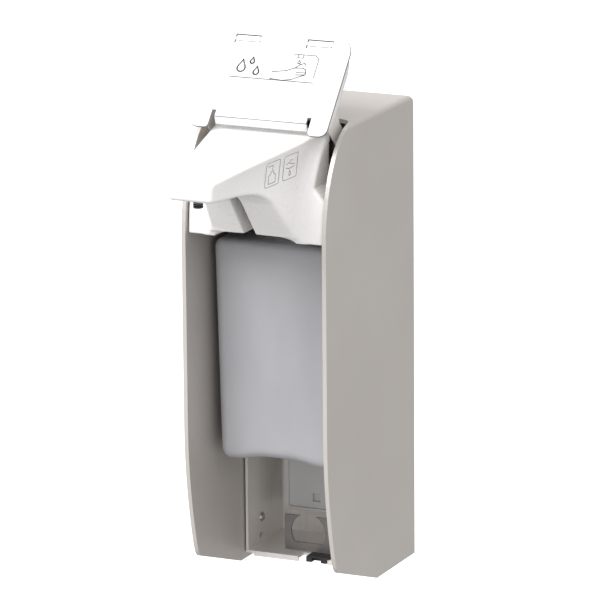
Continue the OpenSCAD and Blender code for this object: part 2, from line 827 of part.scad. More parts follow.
// Walls along both sides of the slot in the underside
module slot_walls() {
    both_sides() between_x(slot_half, slot_half + slot_wall_t) polygon([
        [-210, 306.5], [-190, 303], [-180, 295], [-156, 266.5],
        [-147, 266.5], [-168, 294], [-176, 303], [-190, 308], [-210, 309]]);
}

// Shell of the nose and fascia, open at the back and along the arched rim
module hood_shell() {
    difference() {
        union() {
            nose(0);
            fascia(0);
        }
        nose(hood_t);
        fascia(hood_t);
        along_y(-90, -160) polygon([[-31, rim_z - 1], [-20, rim_z + rim_arch / 2], [-8, rim_z + rim_arch],
            [8, rim_z + rim_arch], [20, rim_z + rim_arch / 2], [31, rim_z - 1]]);
        block([-60, hood_back, 200], [60, -90, 400]);
    }
}

module hood() {
    color([0.93, 0.93, 0.92]) top_group() difference() {
        union() {
            hood_shell();
            slot_walls();
            both_sides() rod_along_y(frame_front, -146.5, boss_x, boss_z, boss_r);
        }
        both_sides() {
            rod_along_y(frame_front + 1, -128, boss_x, boss_z, hood_screw_r);
            translate([lens_x, lens_y, 300]) cylinder(h = 12, r = lens_r);
        }
        translate([0, nozzle_y - tip_shift, 295]) cylinder(h = slot_top - 295, r = nozzle_hole_r);
        block([-slot_half, nozzle_y - tip_shift, 255], [slot_half, -140, slot_top]);
        translate([lamp_x, lamp_y - tip_shift, 300]) cylinder(h = 12, r = lamp_r);
    }
}

module hood_screws() {
    color([0.8, 0.8, 0.8]) top_group() both_sides() {
        rod_along_y(frame_front + 3, -126, boss_x, boss_z, hood_screw_r);
        rod_along_y(frame_front + 5, frame_front + 3, boss_x, boss_z, 2.8);
    }
}

module sensor_boards() {
    color([0.1, 0.35, 0.2]) top_group() both_sides()
        block([5, lens_y - 8, 309.6], [14, lens_y + 8, 311]);
}

module sensor_lenses() {
    color([0.05, 0.05, 0.06]) top_group() both_sides() translate([lens_x, lens_y, 305.2])
        cylinder(h = 4.4, r = lens_r);
}

module status_light() {
    color([0.6, 0.8, 0.6]) top_group() translate([lamp_x, lamp_y - tip_shift, 307])
        cylinder(h = 3.5, r = lamp_r);
}

// ---- Flap ----

// Puts a part drawn flat (x across, y up the slope) on the slope of the flap
module on_slope() {
    translate([0, flap_foot[0], flap_foot[1]]) rotate([flap_lean, 0, 0]) children();
}

// Right half of the flat blank of the flap, from its middle edge round the lug to the upper corner
function flap_half_outline() = concat(
    [[relief_x[0], mid_edge], [relief_x[0], mid_edge + relief], [relief_x[1], mid_edge + relief]],
    arc(relief_x[1] + 3, lug_low + 3, 3, 180, 270, 5),
    arc(flap_half - lug_corner_r, lug_low + lug_corner_r, lug_corner_r, 270, 360, 6),
    arc(flap_half - flap_corner_r, flap_len - flap_corner_r, flap_corner_r, 0, 90, 10));

module flap_outline() {
    half = flap_half_outline();
    last = len(half) - 1;
    polygon(concat(half, [for (i = [last:-1:0]) [-half[i][0], half[i][1]]]));
}

module flap_plate() {
    up = [cos(flap_lean), sin(flap_lean)];
    under = flap_t * [sin(flap_lean), -cos(flap_lean)];
    color([0.95, 0.95, 0.95]) top_group() {
        on_slope() difference() {
            union() {
                translate([0, 0, -flap_t]) linear_extrude(flap_t) flap_outline();
                both_sides() block([flap_half - 1.5, lug_low + lug_corner_r + 2, -5.5],
                    [flap_half, flap_len - flap_corner_r - 2, -flap_t]);
                both_sides() block([louvre_x - louvre_half, louvre_v[0] + louvre_slot, 0],
                    [louvre_x + louvre_half, louvre_v[1], louvre_rise]);
            }
            both_sides() for (v = louvre_v)
                block([louvre_x - louvre_half, v, -3], [louvre_x + louvre_half, v + louvre_slot, 3]);
        }
        translate([0, flap_foot[0], flap_foot[1]])
            along_x(2 * relief_x[0]) polygon(concat([mid_edge * up, mid_edge * up + under], fold_low));
    }
}

module flap_arms() {
    under = flap_t * [sin(flap_lean), -cos(flap_lean)];
    low = flap_foot + 15.5 * [cos(flap_lean), sin(flap_lean)] + under;
    high = flap_foot + 37.5 * [cos(flap_lean), sin(flap_lean)] + under;
    color([0.7, 0.7, 0.7]) top_group() both_sides() difference() {
        between_x(arm_x[0], arm_x[1]) difference() {
            union() {
                polygon([low, high, [-112.3, 340], pivot + [4.5, 4.7], pivot + [-4.5, -4.7], [-126, 334]]);
                translate(pivot) circle(6.5);
            }
            translate(pivot) circle(pivot_r + fit_gap);
        }
    }
}

module pivot_pins() {
    head = arm_x[1] + 0.3;
    color([0.8, 0.8, 0.8]) top_group() both_sides() {
        rod_along_x(frame_half - frame_wall, head, pivot[0], pivot[1], pivot_r);
        rod_along_x(head, head + 1.5, pivot[0], pivot[1], 4.5);
    }
}

module pivot_washers() {
    color([0.2, 0.2, 0.2]) top_group() both_sides() difference() {
        rod_along_x(frame_half, arm_x[0] - 0.1, pivot[0], pivot[1], 6);
        rod_along_x(frame_half - 1, arm_x[0] + 1, pivot[0], pivot[1], pivot_r);
    }
}

housing();
chassis();
upright_bracket();
drain_clip();
panel_bushes();
chassis_screws();
battery_box();
battery_cells();
battery_contacts();
battery_cover();
drive_frame();
frame_screws();
guide_rods();
motor();
motor_screws();
gear_axle();
control_board();
board_parts();
board_screws();
hood();
hood_screws();
sensor_boards();
sensor_lenses();
status_light();
neck_clip();
pivot_pins();
pivot_washers();
flap_plate();
flap_arms();
press_yoke();
press_pad();
drive_gear();
motor_shaft();
motor_pinion();
bottle();
pump_collar();
pump_cylinder();
dip_tube();
valve_ball();
pump_spring();
pump_piston();
pump_head();
spout();
nozzle();
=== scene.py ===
"""Looks of a wall mounted touchless soap dispenser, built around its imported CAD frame."""

import json
import math

import bpy
import numpy as np
from mathutils import Matrix, Vector


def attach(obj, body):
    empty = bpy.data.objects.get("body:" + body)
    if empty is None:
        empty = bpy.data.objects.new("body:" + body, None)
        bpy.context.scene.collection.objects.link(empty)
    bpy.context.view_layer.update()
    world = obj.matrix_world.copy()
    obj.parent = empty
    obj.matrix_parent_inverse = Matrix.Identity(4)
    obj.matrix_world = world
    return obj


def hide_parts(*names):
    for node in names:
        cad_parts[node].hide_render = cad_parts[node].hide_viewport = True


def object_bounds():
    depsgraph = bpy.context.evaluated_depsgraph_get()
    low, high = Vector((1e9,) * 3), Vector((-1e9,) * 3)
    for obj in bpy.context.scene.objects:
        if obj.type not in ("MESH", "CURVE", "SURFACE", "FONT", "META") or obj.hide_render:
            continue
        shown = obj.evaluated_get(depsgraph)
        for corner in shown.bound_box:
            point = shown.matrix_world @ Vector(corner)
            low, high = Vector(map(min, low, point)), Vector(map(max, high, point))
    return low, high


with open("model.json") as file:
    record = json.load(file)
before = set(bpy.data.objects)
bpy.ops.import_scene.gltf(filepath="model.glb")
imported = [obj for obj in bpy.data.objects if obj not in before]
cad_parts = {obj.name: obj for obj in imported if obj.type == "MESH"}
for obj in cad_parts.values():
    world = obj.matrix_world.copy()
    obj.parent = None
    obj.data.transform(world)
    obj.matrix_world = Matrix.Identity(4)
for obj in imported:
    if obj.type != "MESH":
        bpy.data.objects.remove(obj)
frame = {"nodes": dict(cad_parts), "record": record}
CAD_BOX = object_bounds()
NODES = frame["nodes"]

# Lengths are in millimetres. Heights count from the lower back edge, BASE below the frame's origin.
MM = 0.001
BASE = -180.0
INNER_HALF = 52.0

# Hood: RIDGE is the upper edge of the nose, which starts at RIDGE_BACK and falls towards the tip.
HOOD_HALF = 51.6
HOOD_T = 2.4
HOOD_BACK = -118.0
FASCIA_FRONT = -149.0
GAP_HALF = 42.0
RIM_Z = 260.0
RIM_ARCH = 6.2
TIP_Y = -250.5
TIP_HALF = 17.0
TIP_TOP = 322.6
RIDGE_BACK = -122.0
RIDGE_TOP = 334.8
SIDE_DRAFT = 4.6
SLOT_TOP = 316.8
LENS_BORE = (9.0, -214.0, 3.5)
LAMP_BORE = (9.5, -238.0, 1.6)
LENS_TOP = 312.0
BOSS = (37.0, 271.0)

# Pump, nozzle and bottle
PUMP_Y = -79.0
NOZZLE_Y = -238.0
BOTTLE_BASE = 90.0
BOTTLE_TOP = 251.0
BOTTLE_CORNER = 7.5
NECK_TOP = 266.0

# Flap: FLAP_FOOT is the depth and height of its foot, v runs from there up its slope.
FLAP_FOOT = (-146.0, 335.0)
FLAP_LEN = 80.7
FLAP_LEAN = math.radians(49.3)
FLAP_T = 1.5
FLAP_BEVEL = 0.45
NOTCH_HALF = 35.0
FOLD_V = 10.6
LOUVRE_W = 1.7
LOUVRE_V = (FLAP_LEN - 10.9, FLAP_LEN - 6.2)
LOUVRE_X = 27.3
LOUVRE_HALF = 9.5


def at(x, y, z):
    """A point in the row frame, in metres, from millimetres above the lower back edge."""
    return Vector((x * MM, y * MM, (z + BASE) * MM))


# ---- Node materials ----


class Shader:
    """A principled material with a few node helpers."""

    def __init__(self, name, color, roughness, metallic=0.0, **sockets):
        self.mat = bpy.data.materials.new(name)
        self.mat.use_nodes = True
        self.tree = self.mat.node_tree
        self.bsdf = self.tree.nodes["Principled BSDF"]
        self.coords = self.tree.nodes.new("ShaderNodeTexCoord").outputs["Object"]
        self.set("Base Color", (*color, 1.0))
        self.set("Roughness", roughness)
        self.set("Metallic", metallic)
        for key, value in sockets.items():
            self.set(key.replace("_", " "), value)
        self.height = None

    def set(self, socket, value):
        self.bsdf.inputs[socket].default_value = value

    def link(self, a, b):
        self.tree.links.new(a, b)

    def noise(self, scale, detail=3.0, stretch=(1, 1, 1)):
        """Noise over the object, with scale features per metre."""
        mapping = self.tree.nodes.new("ShaderNodeMapping")
        mapping.inputs["Scale"].default_value = stretch
        self.link(self.coords, mapping.inputs["Vector"])
        node = self.tree.nodes.new("ShaderNodeTexNoise")
        node.inputs["Scale"].default_value = scale
        node.inputs["Detail"].default_value = detail
        node.inputs["Roughness"].default_value = 0.55
        self.link(mapping.outputs["Vector"], node.inputs["Vector"])
        return node.outputs["Fac"]

    def cells(self, scale):
        node = self.tree.nodes.new("ShaderNodeTexVoronoi")
        node.inputs["Scale"].default_value = scale
        self.link(self.coords, node.inputs["Vector"])
        return node.outputs["Distance"]

    def ramp(self, fac, stops):
        node = self.tree.nodes.new("ShaderNodeValToRGB")
        elements = node.color_ramp.elements
        while len(elements) < len(stops):
            elements.new(0.5)
        for element, (pos, color) in zip(elements, stops):
            element.position = pos
            element.color = (*color, 1.0)
        self.link(fac, node.inputs["Fac"])
        return node.outputs["Color"]

    def tint(self, fac, dark, light, low=0.3, high=0.7):
        """Base colour between two colours by a noise."""
        self.link(self.ramp(fac, [(low, dark), (high, light)]), self.bsdf.inputs["Base Color"])

    def vary(self, fac, socket, low, high):
        """Drives a socket between two values by a noise."""
        node = self.tree.nodes.new("ShaderNodeMapRange")
        node.inputs["From Min"].default_value = 0.25
        node.inputs["From Max"].default_value = 0.75
        node.inputs["To Min"].default_value = low
        node.inputs["To Max"].default_value = high
        self.link(fac, node.inputs["Value"])
        self.link(node.outputs["Result"], self.bsdf.inputs[socket])

    def bump(self, fac, strength, distance):
        """Adds a layer of bump, its distance in metres."""
        node = self.tree.nodes.new("ShaderNodeBump")
        node.inputs["Strength"].default_value = strength
        node.inputs["Distance"].default_value = distance
        self.link(fac, node.inputs["Height"])
        if self.height is not None:
            self.link(self.height, node.inputs["Normal"])
        self.height = node.outputs["Normal"]
        self.link(self.height, self.bsdf.inputs["Normal"])


def anodised():
    s = Shader("satin_aluminium", (0.58, 0.545, 0.515), 0.42, metallic=0.3)
    s.tint(s.noise(9, 2), (0.555, 0.52, 0.49), (0.585, 0.55, 0.52))
    s.vary(s.noise(420, 4), "Roughness", 0.36, 0.5)
    s.bump(s.noise(2600, 2), 0.12, 0.00006)
    s.bump(s.noise(60, 2), 0.03, 0.0004)
    return s.mat


def stainless(name, stretch, color):
    s = Shader(name, color, 0.38, metallic=0.4)
    grain = s.noise(900, 4, stretch)
    light = tuple(min(1, c * 1.06) for c in color)
    s.tint(grain, tuple(c * 0.94 for c in color), light)
    s.vary(s.noise(700, 3, stretch), "Roughness", 0.28, 0.42)
    s.bump(grain, 0.1, 0.00003)
    return s.mat


def white_gloss():
    s = Shader("white_gloss", (0.86, 0.84, 0.83), 0.26)
    s.tint(s.noise(14, 2), (0.845, 0.828, 0.815), (0.875, 0.858, 0.847))
    s.vary(s.noise(90, 3), "Roughness", 0.25, 0.31)
    s.bump(s.noise(40, 2), 0.02, 0.00004)
    return s.mat


def white_paint():
    s = Shader("white_powder_coat", (0.86, 0.86, 0.86), 0.32)
    s.tint(s.noise(20, 2), (0.78, 0.778, 0.775), (0.8, 0.798, 0.795))
    s.vary(s.noise(260, 3), "Roughness", 0.28, 0.4)
    s.bump(s.noise(900, 3), 0.08, 0.00006)
    return s.mat


def plastic(name, dark, light, roughness=(0.4, 0.55), grain=1800, depth=0.00005):
    s = Shader(name, light, roughness[1])
    s.tint(s.noise(30, 2), dark, light)
    s.vary(s.noise(500, 3), "Roughness", *roughness)
    s.bump(s.cells(grain), 0.25, depth)
    return s.mat


def bottle_plastic():
    s = Shader("bottle_plastic", (0.6, 0.63, 0.66), 0.38, IOR=1.5)
    s.set("Transmission Weight", 0.1)
    s.set("Subsurface Weight", 0.6)
    s.set("Subsurface Scale", 1.0)
    s.set("Subsurface Radius", (0.016, 0.017, 0.018))
    s.tint(s.noise(26, 3, (1, 1, 0.35)), (0.43, 0.43, 0.455), (0.48, 0.48, 0.5))
    s.vary(s.noise(120, 3), "Roughness", 0.32, 0.46)
    s.bump(s.noise(70, 3, (1, 1, 0.4)), 0.12, 0.0006)
    s.bump(s.noise(1400, 2), 0.1, 0.00005)
    return s.mat


def metal(name, dark, light, roughness=(0.2, 0.35), grain=600, stretch=(1, 1, 1), metallic=1.0):
    s = Shader(name, light, roughness[0], metallic=metallic)
    s.tint(s.noise(grain, 3, stretch), dark, light)
    s.vary(s.noise(grain * 0.7, 3, stretch), "Roughness", *roughness)
    s.bump(s.noise(grain * 2, 2, stretch), 0.1, 0.00003)
    return s.mat


def circuit():
    s = Shader("circuit_board", (0.02, 0.16, 0.08), 0.4)
    s.tint(s.cells(240), (0.012, 0.1, 0.05), (0.03, 0.2, 0.1), 0.05, 0.25)
    s.vary(s.noise(400), "Roughness", 0.3, 0.5)
    s.bump(s.cells(480), 0.2, 0.00008)
    return s.mat


def cell_jacket():
    s = Shader("cell_jacket", (0.05, 0.05, 0.06), 0.3, metallic=0.3)
    s.tint(s.noise(3, 1, (0.01, 0.01, 6)), (0.03, 0.03, 0.04), (0.35, 0.22, 0.08), 0.48, 0.52)
    s.vary(s.noise(200), "Roughness", 0.22, 0.34)
    return s.mat


def sensor_glass():
    s = Shader("sensor_window", (0.012, 0.01, 0.014), 0.08, Coat_Weight=0.4)
    s.tint(s.noise(300), (0.008, 0.007, 0.01), (0.02, 0.016, 0.024))
    s.vary(s.noise(500), "Roughness", 0.06, 0.14)
    return s.mat


def diffuser():
    s = Shader("light_diffuser", (0.6, 0.78, 0.64), 0.4)
    s.set("Subsurface Weight", 0.4)
    s.tint(s.noise(500), (0.55, 0.72, 0.58), (0.66, 0.82, 0.7))
    s.bump(s.noise(3000), 0.2, 0.00003)
    return s.mat


def printed(name, color):
    s = Shader(name, color, 0.45)
    s.tint(s.noise(900), color, tuple(min(1, c * 1.5 + 0.01) for c in color))
    s.vary(s.noise(1500), "Roughness", 0.38, 0.55)
    return s.mat


MATERIALS = {
    "housing_aluminium": anodised(),
    "stainless_sheet": stainless("brushed_stainless", (1, 1, 0.02), (0.84, 0.81, 0.78)),
    # Painted shade: a much darker copy of the brushed stainless, standing in for the shade on the
    # upright bracket.
    "stainless_painted_shade": stainless("stainless_painted_shade", (1, 1, 1), (0.2, 0.185, 0.18)),
    "black_plastic": plastic("black_plastic", (0.012, 0.012, 0.013), (0.026, 0.026, 0.027)),
    "zinc_steel": metal("zinc_plate", (0.5, 0.51, 0.53), (0.66, 0.66, 0.66), (0.24, 0.38)),
    "pale_grey_plastic": plastic("pale_grey_plastic", (0.6, 0.6, 0.59), (0.67, 0.67, 0.66)),
    "cell_jacket": cell_jacket(),
    "spring_steel": metal("spring_steel", (0.45, 0.44, 0.42), (0.62, 0.6, 0.56)),
    "dark_grey_plastic": plastic("dark_grey_plastic", (0.03, 0.03, 0.032), (0.055, 0.055, 0.058)),
    "polished_steel": metal("polished_steel", (0.5, 0.5, 0.5), (0.64, 0.64, 0.63), (0.12, 0.24)),
    "circuit_board": circuit(),
    "white_gloss_plastic": white_gloss(),
    "sensor_lens": sensor_glass(),
    "light_diffuser": diffuser(),
    "white_painted_steel": white_paint(),
    "black_rubber": plastic("black_rubber", (0.015, 0.015, 0.015), (0.03, 0.03, 0.03), (0.6, 0.8)),
    "ivory_plastic": plastic("ivory_plastic", (0.68, 0.65, 0.57), (0.78, 0.75, 0.68), (0.3, 0.45)),
    "brass": metal("brass", (0.5, 0.36, 0.14), (0.66, 0.5, 0.22), (0.2, 0.32)),
    "bottle_plastic": bottle_plastic(),
    "dark_metal": metal("dark_metal", (0.035, 0.035, 0.036), (0.09, 0.09, 0.09), (0.25, 0.4)),
}
PRINT_DARK = printed("print_dark_grey", (0.05, 0.05, 0.052))
PRINT_PALE = printed("print_pale_grey", (0.1, 0.095, 0.095))
# Painted shade: dark grey for the rim faces of the flap, standing in for the shading along its edges.
PAINTED_RIM_SHADE = plastic("painted_rim_shade", (0.2, 0.19, 0.19), (0.26, 0.25, 0.25), grain=900)
# Painted shade: dark brown for the walls of the louvre slots, standing in for the shade inside them.
PAINTED_SLOT_SHADE = metal("painted_slot_shade", (0.09, 0.07, 0.06), (0.16, 0.13, 0.11), (0.4, 0.6), metallic=0.4)


# ---- Mesh helpers ----


def finish_piece(obj, body, slot, material=None, replaced=()):
    """Gives a built piece its material and body, and hides the CAD parts it replaces."""
    obj.data.materials.clear()
    obj.data.materials.append(material or MATERIALS[slot])
    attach(obj, body)
    if replaced:
        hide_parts(*replaced)
    return obj


def new_object(name, mesh):
    obj = bpy.data.objects.new(name, mesh)
    bpy.context.collection.objects.link(obj)
    return obj


def mesh_from(name, points, faces, smooth=True):
    """A mesh object from points in millimetres."""
    mesh = bpy.data.meshes.new(name)
    mesh.from_pydata([at(*p) for p in points], [], [list(map(int, f)) for f in faces])
    mesh.validate()
    if smooth:
        mesh.shade_smooth()
    return new_object(name, mesh)


def polygon_distance(px, py, points):
    """Signed distance to a closed outline, negative inside."""
    best = np.full(px.shape, 1e12)
    inside = np.zeros(px.shape, bool)
    for (ax, ay), (bx, by) in zip(points, points[1:] + points[:1]):
        ex, ey = bx - ax, by - ay
        t = np.clip(((px - ax) * ex + (py - ay) * ey) / (ex * ex + ey * ey), 0, 1)
        best = np.minimum(best, (px - ax - t * ex) ** 2 + (py - ay - t * ey) ** 2)
        crosses = (ay > py) != (by > py)
        with np.errstate(divide="ignore", invalid="ignore"):
            inside ^= crosses & (px < (bx - ax) * (py - ay) / (by - ay) + ax)
    return np.where(inside, -1, 1) * np.sqrt(best)


def blend_min(a, b, r):
    """Union of two distances with a fillet of about r."""
    h = np.maximum(r - np.abs(a - b), 0) / r
    return np.minimum(a, b) - h * h * r / 4


def blend_max(a, b, r):
    """Intersection of two distances with a rounded edge of about r."""
    return -blend_min(-a, -b, r)


def box_distance(x, y, z, low, high):
    centre = [(a + b) / 2 for a, b in zip(low, high)]
    half = [(b - a) / 2 for a, b in zip(low, high)]
    d = [np.abs(v - c) - h for v, c, h in zip((x, y, z), centre, half)]
    return np.maximum(np.maximum(d[0], d[1]), d[2])


def surface_net(field, low, high, step):
    """Points and quads of the surface where field is zero; the points are then pulled onto it."""
    axes = [np.arange(a, b + step, step) for a, b in zip(low, high)]
    grid = np.meshgrid(*axes, indexing="ij")
    value = field(*grid)
    shape = tuple(n - 1 for n in value.shape)
    total = np.zeros(shape + (3,))
    count = np.zeros(shape)
    crossings = []
    for axis in range(3):
        head = [slice(None)] * 3
        tail = [slice(None)] * 3
        head[axis], tail[axis] = slice(0, -1), slice(1, None)
        f0, f1 = value[tuple(head)], value[tuple(tail)]
        cut = (f0 < 0) != (f1 < 0)
        t = np.where(cut, f0 / np.where(cut, f0 - f1, 1), 0)
        place = np.stack([g[tuple(head)] for g in grid], axis=-1)
        place[..., axis] += t * step
        crossings.append((cut, f0 < 0))
        u, v = [a for a in range(3) if a != axis]
        for du in (0, 1):
            for dv in (0, 1):
                pick = [slice(None)] * 3
                pick[u] = slice(du, du + shape[u])
                pick[v] = slice(dv, dv + shape[v])
                m = cut[tuple(pick)]
                total += place[tuple(pick)] * m[..., None]
                count += m
    index = -np.ones(shape, int)
    active = count > 0
    index[active] = np.arange(active.sum())
    points = total[active] / count[active][:, None]
    quads = []
    for axis, (cut, starts_inside) in enumerate(crossings):
        u, v = [(1, 2), (2, 0), (0, 1)][axis]
        keep = [slice(None)] * 3
        keep[u], keep[v] = slice(1, -1), slice(1, -1)
        cells = np.argwhere(cut[tuple(keep)])
        cells[:, u] += 1
        cells[:, v] += 1
        outward = starts_inside[tuple(cells.T)]
        ring = []
        for du, dv in ((-1, -1), (0, -1), (0, 0), (-1, 0)):
            c = cells.copy()
            c[:, u] += du
            c[:, v] += dv
            ring.append(index[tuple(c.T)])
        ring = np.stack(ring, axis=1)
        ring[~outward] = ring[~outward][:, ::-1]
        quads.append(ring)
    for _ in range(3):
        here = field(*points.T)
        slope = np.stack(
            [
                (field(*(points + d).T) - field(*(points - d).T)) / 0.2
                for d in 0.1 * np.eye(3)
            ],
            axis=1,
        )
        move = here[:, None] * slope / np.maximum((slope**2).sum(1, keepdims=True), 0.2)
        points -= np.clip(move, -0.5 * step, 0.5 * step)
    return points, np.concatenate(quads), slope / np.linalg.norm(slope, axis=1, keepdims=True)


def carved(name, field, low, high, step):
    """A smooth mesh object of an implicit shape, shaded with the shape's own normals."""
    points, quads, normals = surface_net(field, low, high, step)
    obj = mesh_from(name, points, quads)
    obj.data.normals_split_custom_set_from_vertices(normals.tolist())
    return obj


def cubic(a, b, c, d, n=14):
    """Points of a cubic curve, as in the design."""
    out = []
    for i in range(n + 1):
        t = i / n
        w = ((1 - t) ** 3, 3 * (1 - t) ** 2 * t, 3 * (1 - t) * t * t, t**3)
        out.append(tuple(sum(k * p[j] for k, p in zip(w, (a, b, c, d))) for j in (0, 1)))
    return out


def circle_arc(cx, cy, r, a0, a1, n=8):
    """Points of an arc, angles in degrees."""
    angles = [math.radians(a0 + (a1 - a0) * i / n) for i in range(n + 1)]
    return [(cx + r * math.cos(a), cy + r * math.sin(a)) for a in angles]


# ---- Hood ----

NOSE_SIDE = (
    [(-100, RIDGE_TOP), (RIDGE_BACK, RIDGE_TOP), (TIP_Y + 4, TIP_TOP)]
    + circle_arc(TIP_Y + 4, TIP_TOP - 4, 4, 95, 180, 5)
    + circle_arc(TIP_Y + 3, 311.2, 3, 180, 262, 5)
    + [(-212, 305.8)]
    + cubic((-208, 305.4), (-194, 304), (-187, 301), (-180, 294), 8)
    + [(-157, 266), (-140, 266), (-100, 300)]
)
FASCIA_SIDE = cubic((-109, 333), (-130, 330), (FASCIA_FRONT, 302), (FASCIA_FRONT, RIM_Z)) + [
    (-100, RIM_Z),
    (-100, 333),
]
FASCIA_FACE = [
    (0, RIM_Z),
    (HOOD_HALF, RIM_Z),
    (HOOD_HALF, 290),
    (GAP_HALF, 299),
    (GAP_HALF, 334),
    (0, 334),
]
SIDE_SLOPE = (GAP_HALF - TIP_HALF) / (RIDGE_BACK - TIP_Y)


def nose_half_width(y):
    """Half width of the nose at its upper ridge."""
    return np.minimum(TIP_HALF + SIDE_SLOPE * (y - TIP_Y), GAP_HALF)


def nose_top(y):
    """Height of the upper ridge."""
    fall = (RIDGE_TOP - TIP_TOP) * (y - RIDGE_BACK) / (TIP_Y + 4 - RIDGE_BACK)
    return np.where(y > RIDGE_BACK, RIDGE_TOP, RIDGE_TOP - fall)


def side_inset(y, z):
    """How far the sides of the nose fall in below their upper ridge."""
    depth = SIDE_DRAFT * np.clip((y - TIP_Y + 8) / 40, 0, 1)
    return depth * (1 - np.exp(-np.maximum(nose_top(y) - z, 0) / 9))


def hood_outside(x, y, z):
    """The nose blended into the fascia. The underside of the nose bows back towards its sides."""
    bow = 4.0 * np.minimum(np.abs(x) / 30, 1.1) ** 2 * np.clip((306 - z) / 12, 0, 1)
    side = polygon_distance(y - bow, z, NOSE_SIDE)
    width = np.abs(x) - nose_half_width(y) + side_inset(y, z)
    nose = blend_max(side, width * 0.96, 2.6)
    fascia = blend_max(
        polygon_distance(y, z, FASCIA_SIDE), polygon_distance(np.abs(x), z, FASCIA_FACE), 2.5
    )
    return blend_min(nose, fascia, 9)


def slot_half_width(y):
    """The slot widens from the nozzle to the rim."""
    return 3.4 + 1.1 * np.clip((y + 215) / 60, 0, 1)


def slot_guides(slot, outside, arch, x, y, z):
    """The two walls that line the slot."""
    thin = np.maximum(np.maximum(slot - 1.8, outside + 0.5), -(outside + 12))
    reach = box_distance(x, y, z, (-9, -212, 262), (9, -140, 309))
    return np.maximum(thin, np.maximum(reach, arch))


def upward_bore(x, y, z, centre_x, centre_y, radius, top):
    """A round hole that comes from below and ends at top."""
    return np.maximum(np.hypot(x - centre_x, y - centre_y) - radius, z - top)


def hood_bores(x, y, z):
    """The holes for the two sensor lenses and the status light."""
    lens_x, lens_y, lens_r = LENS_BORE
    right = upward_bore(x, y, z, lens_x, lens_y, lens_r, LENS_TOP)
    left = upward_bore(x, y, z, -lens_x, lens_y, lens_r, LENS_TOP)
    lamp = upward_bore(x, y, z, *LAMP_BORE, LENS_TOP)
    return np.minimum(np.minimum(left, right), lamp)


def hood_cavity(outside, x, y, z):
    """The hollow of the hood. Its wall is thinner behind the fascia than in the nose."""
    half = HOOD_HALF - HOOD_T
    below = box_distance(x, y, z, (-half, -147, 200), (half, -90, 291))
    return blend_min(outside + HOOD_T, np.maximum(below, outside + HOOD_T), 3)


def hood_field(x, y, z):
    """The hood: a shell with an arched rim, a slot for the spout, bores and two screw bosses."""
    outside = hood_outside(x, y, z)
    arch = RIM_Z + RIM_ARCH * np.sqrt(np.clip(1 - (x / 31) ** 2, 0, 1)) - z
    shell = blend_max(blend_max(outside, -hood_cavity(outside, x, y, z), 1.0), arch, 1.0)
    slot = np.abs(x) - slot_half_width(y)
    shell = np.minimum(shell, slot_guides(slot, outside, arch, x, y, z))
    opening = np.maximum(slot, box_distance(x, y, z, (-9, NOZZLE_Y, 240), (9, -135, SLOT_TOP)))
    outlet = upward_bore(x, y, z, 0, NOZZLE_Y, 5.2, SLOT_TOP)
    shell = blend_max(shell, -np.minimum(opening, outlet), 0.8)
    shell = np.maximum(shell, -hood_bores(x, y, z))
    shell = np.maximum(shell, y - HOOD_BACK)
    from_screw = np.hypot(np.abs(x) - BOSS[0], z - BOSS[1])
    boss = np.maximum(from_screw - 4, np.abs(y + 129.5) - 17.4)
    bore = np.maximum(from_screw - 1.6, -(y + 128))
    return np.maximum(np.minimum(shell, boss), -bore)


def build_hood():
    hood = carved("hood_shell", hood_field, (-54, -253, 257), (54, -116, 338), 1.2)
    return finish_piece(hood, "frame", "white_gloss_plastic", replaced=["hood"])


build_hood()


# ---- Bottle ----


def bottle_field(x, y, z):
    """A bottle that widens a little towards its shoulder, with an arched base and bores for the pump."""
    rise = np.clip((z - BOTTLE_BASE) / (BOTTLE_TOP - BOTTLE_BASE), 0, 1)
    dx = np.abs(x) - (45 + 3.0 * rise - BOTTLE_CORNER)
    dy = np.abs(y - PUMP_Y) - (37.5 + 2.0 * rise - BOTTLE_CORNER)
    flat = np.minimum(np.maximum(dx, dy), 0)
    wall = np.hypot(np.maximum(dx, 0), np.maximum(dy, 0)) + flat - BOTTLE_CORNER
    arch = 3.4 * np.exp(-((x / 24) ** 4))
    radius = np.hypot(x, y - PUMP_Y)
    shoulder = z - BOTTLE_TOP + 0.00022 * radius**2
    body = blend_max(blend_max(wall, BOTTLE_BASE + arch - z, 9), shoulder, 7)
    body = blend_min(body, np.maximum(radius - 14, z - NECK_TOP), 5)
    pump = np.maximum(radius - 11.5, 205 - z)
    tube = np.maximum(radius - 5.0, 100 - z)
    return np.maximum(body, -np.minimum(pump, tube))


def build_bottle():
    bottle = carved("bottle_shell", bottle_field, (-50, -121, 88), (50, -37, 268), 1.6)
    return finish_piece(bottle, "refill", "bottle_plastic", replaced=["bottle"])


build_bottle()


# ---- Flap ----


def on_slope(x, v, n=0.0):
    """A point on the flap: v up the slope from its foot, n off its printed face."""
    y = FLAP_FOOT[0] + v * math.cos(FLAP_LEAN) - n * math.sin(FLAP_LEAN)
    z = FLAP_FOOT[1] + v * math.sin(FLAP_LEAN) + n * math.cos(FLAP_LEAN)
    return at(x, y, z)


def plate_object(name, outlines, place, thickness, bevel):
    """A flat plate from an outline and its holes, with its edges eased and moved by the matrix place."""
    curve = bpy.data.curves.new(name, "CURVE")
    curve.dimensions = "2D"
    curve.fill_mode = "BOTH"
    curve.extrude = (thickness / 2 - bevel) * MM
    curve.bevel_depth = bevel * MM
    curve.bevel_resolution = 2
    curve.offset = -bevel * MM
    for outline in outlines:
        spline = curve.splines.new("POLY")
        spline.points.add(len(outline) - 1)
        for point, (u, v) in zip(spline.points, outline):
            point.co = (u * MM, v * MM, 0, 1)
        spline.use_cyclic_u = True
    temp = new_object(name + "_curve", curve)
    solid = temp.evaluated_get(bpy.context.evaluated_depsgraph_get())
    mesh = bpy.data.meshes.new_from_object(solid)
    bpy.data.objects.remove(temp)
    mesh.transform(place)
    mesh.name = name
    return new_object(name, mesh)


def mirrored(points):
    """An outline's right half followed by its left half."""
    return points + [(-u, v) for u, v in reversed(points)]


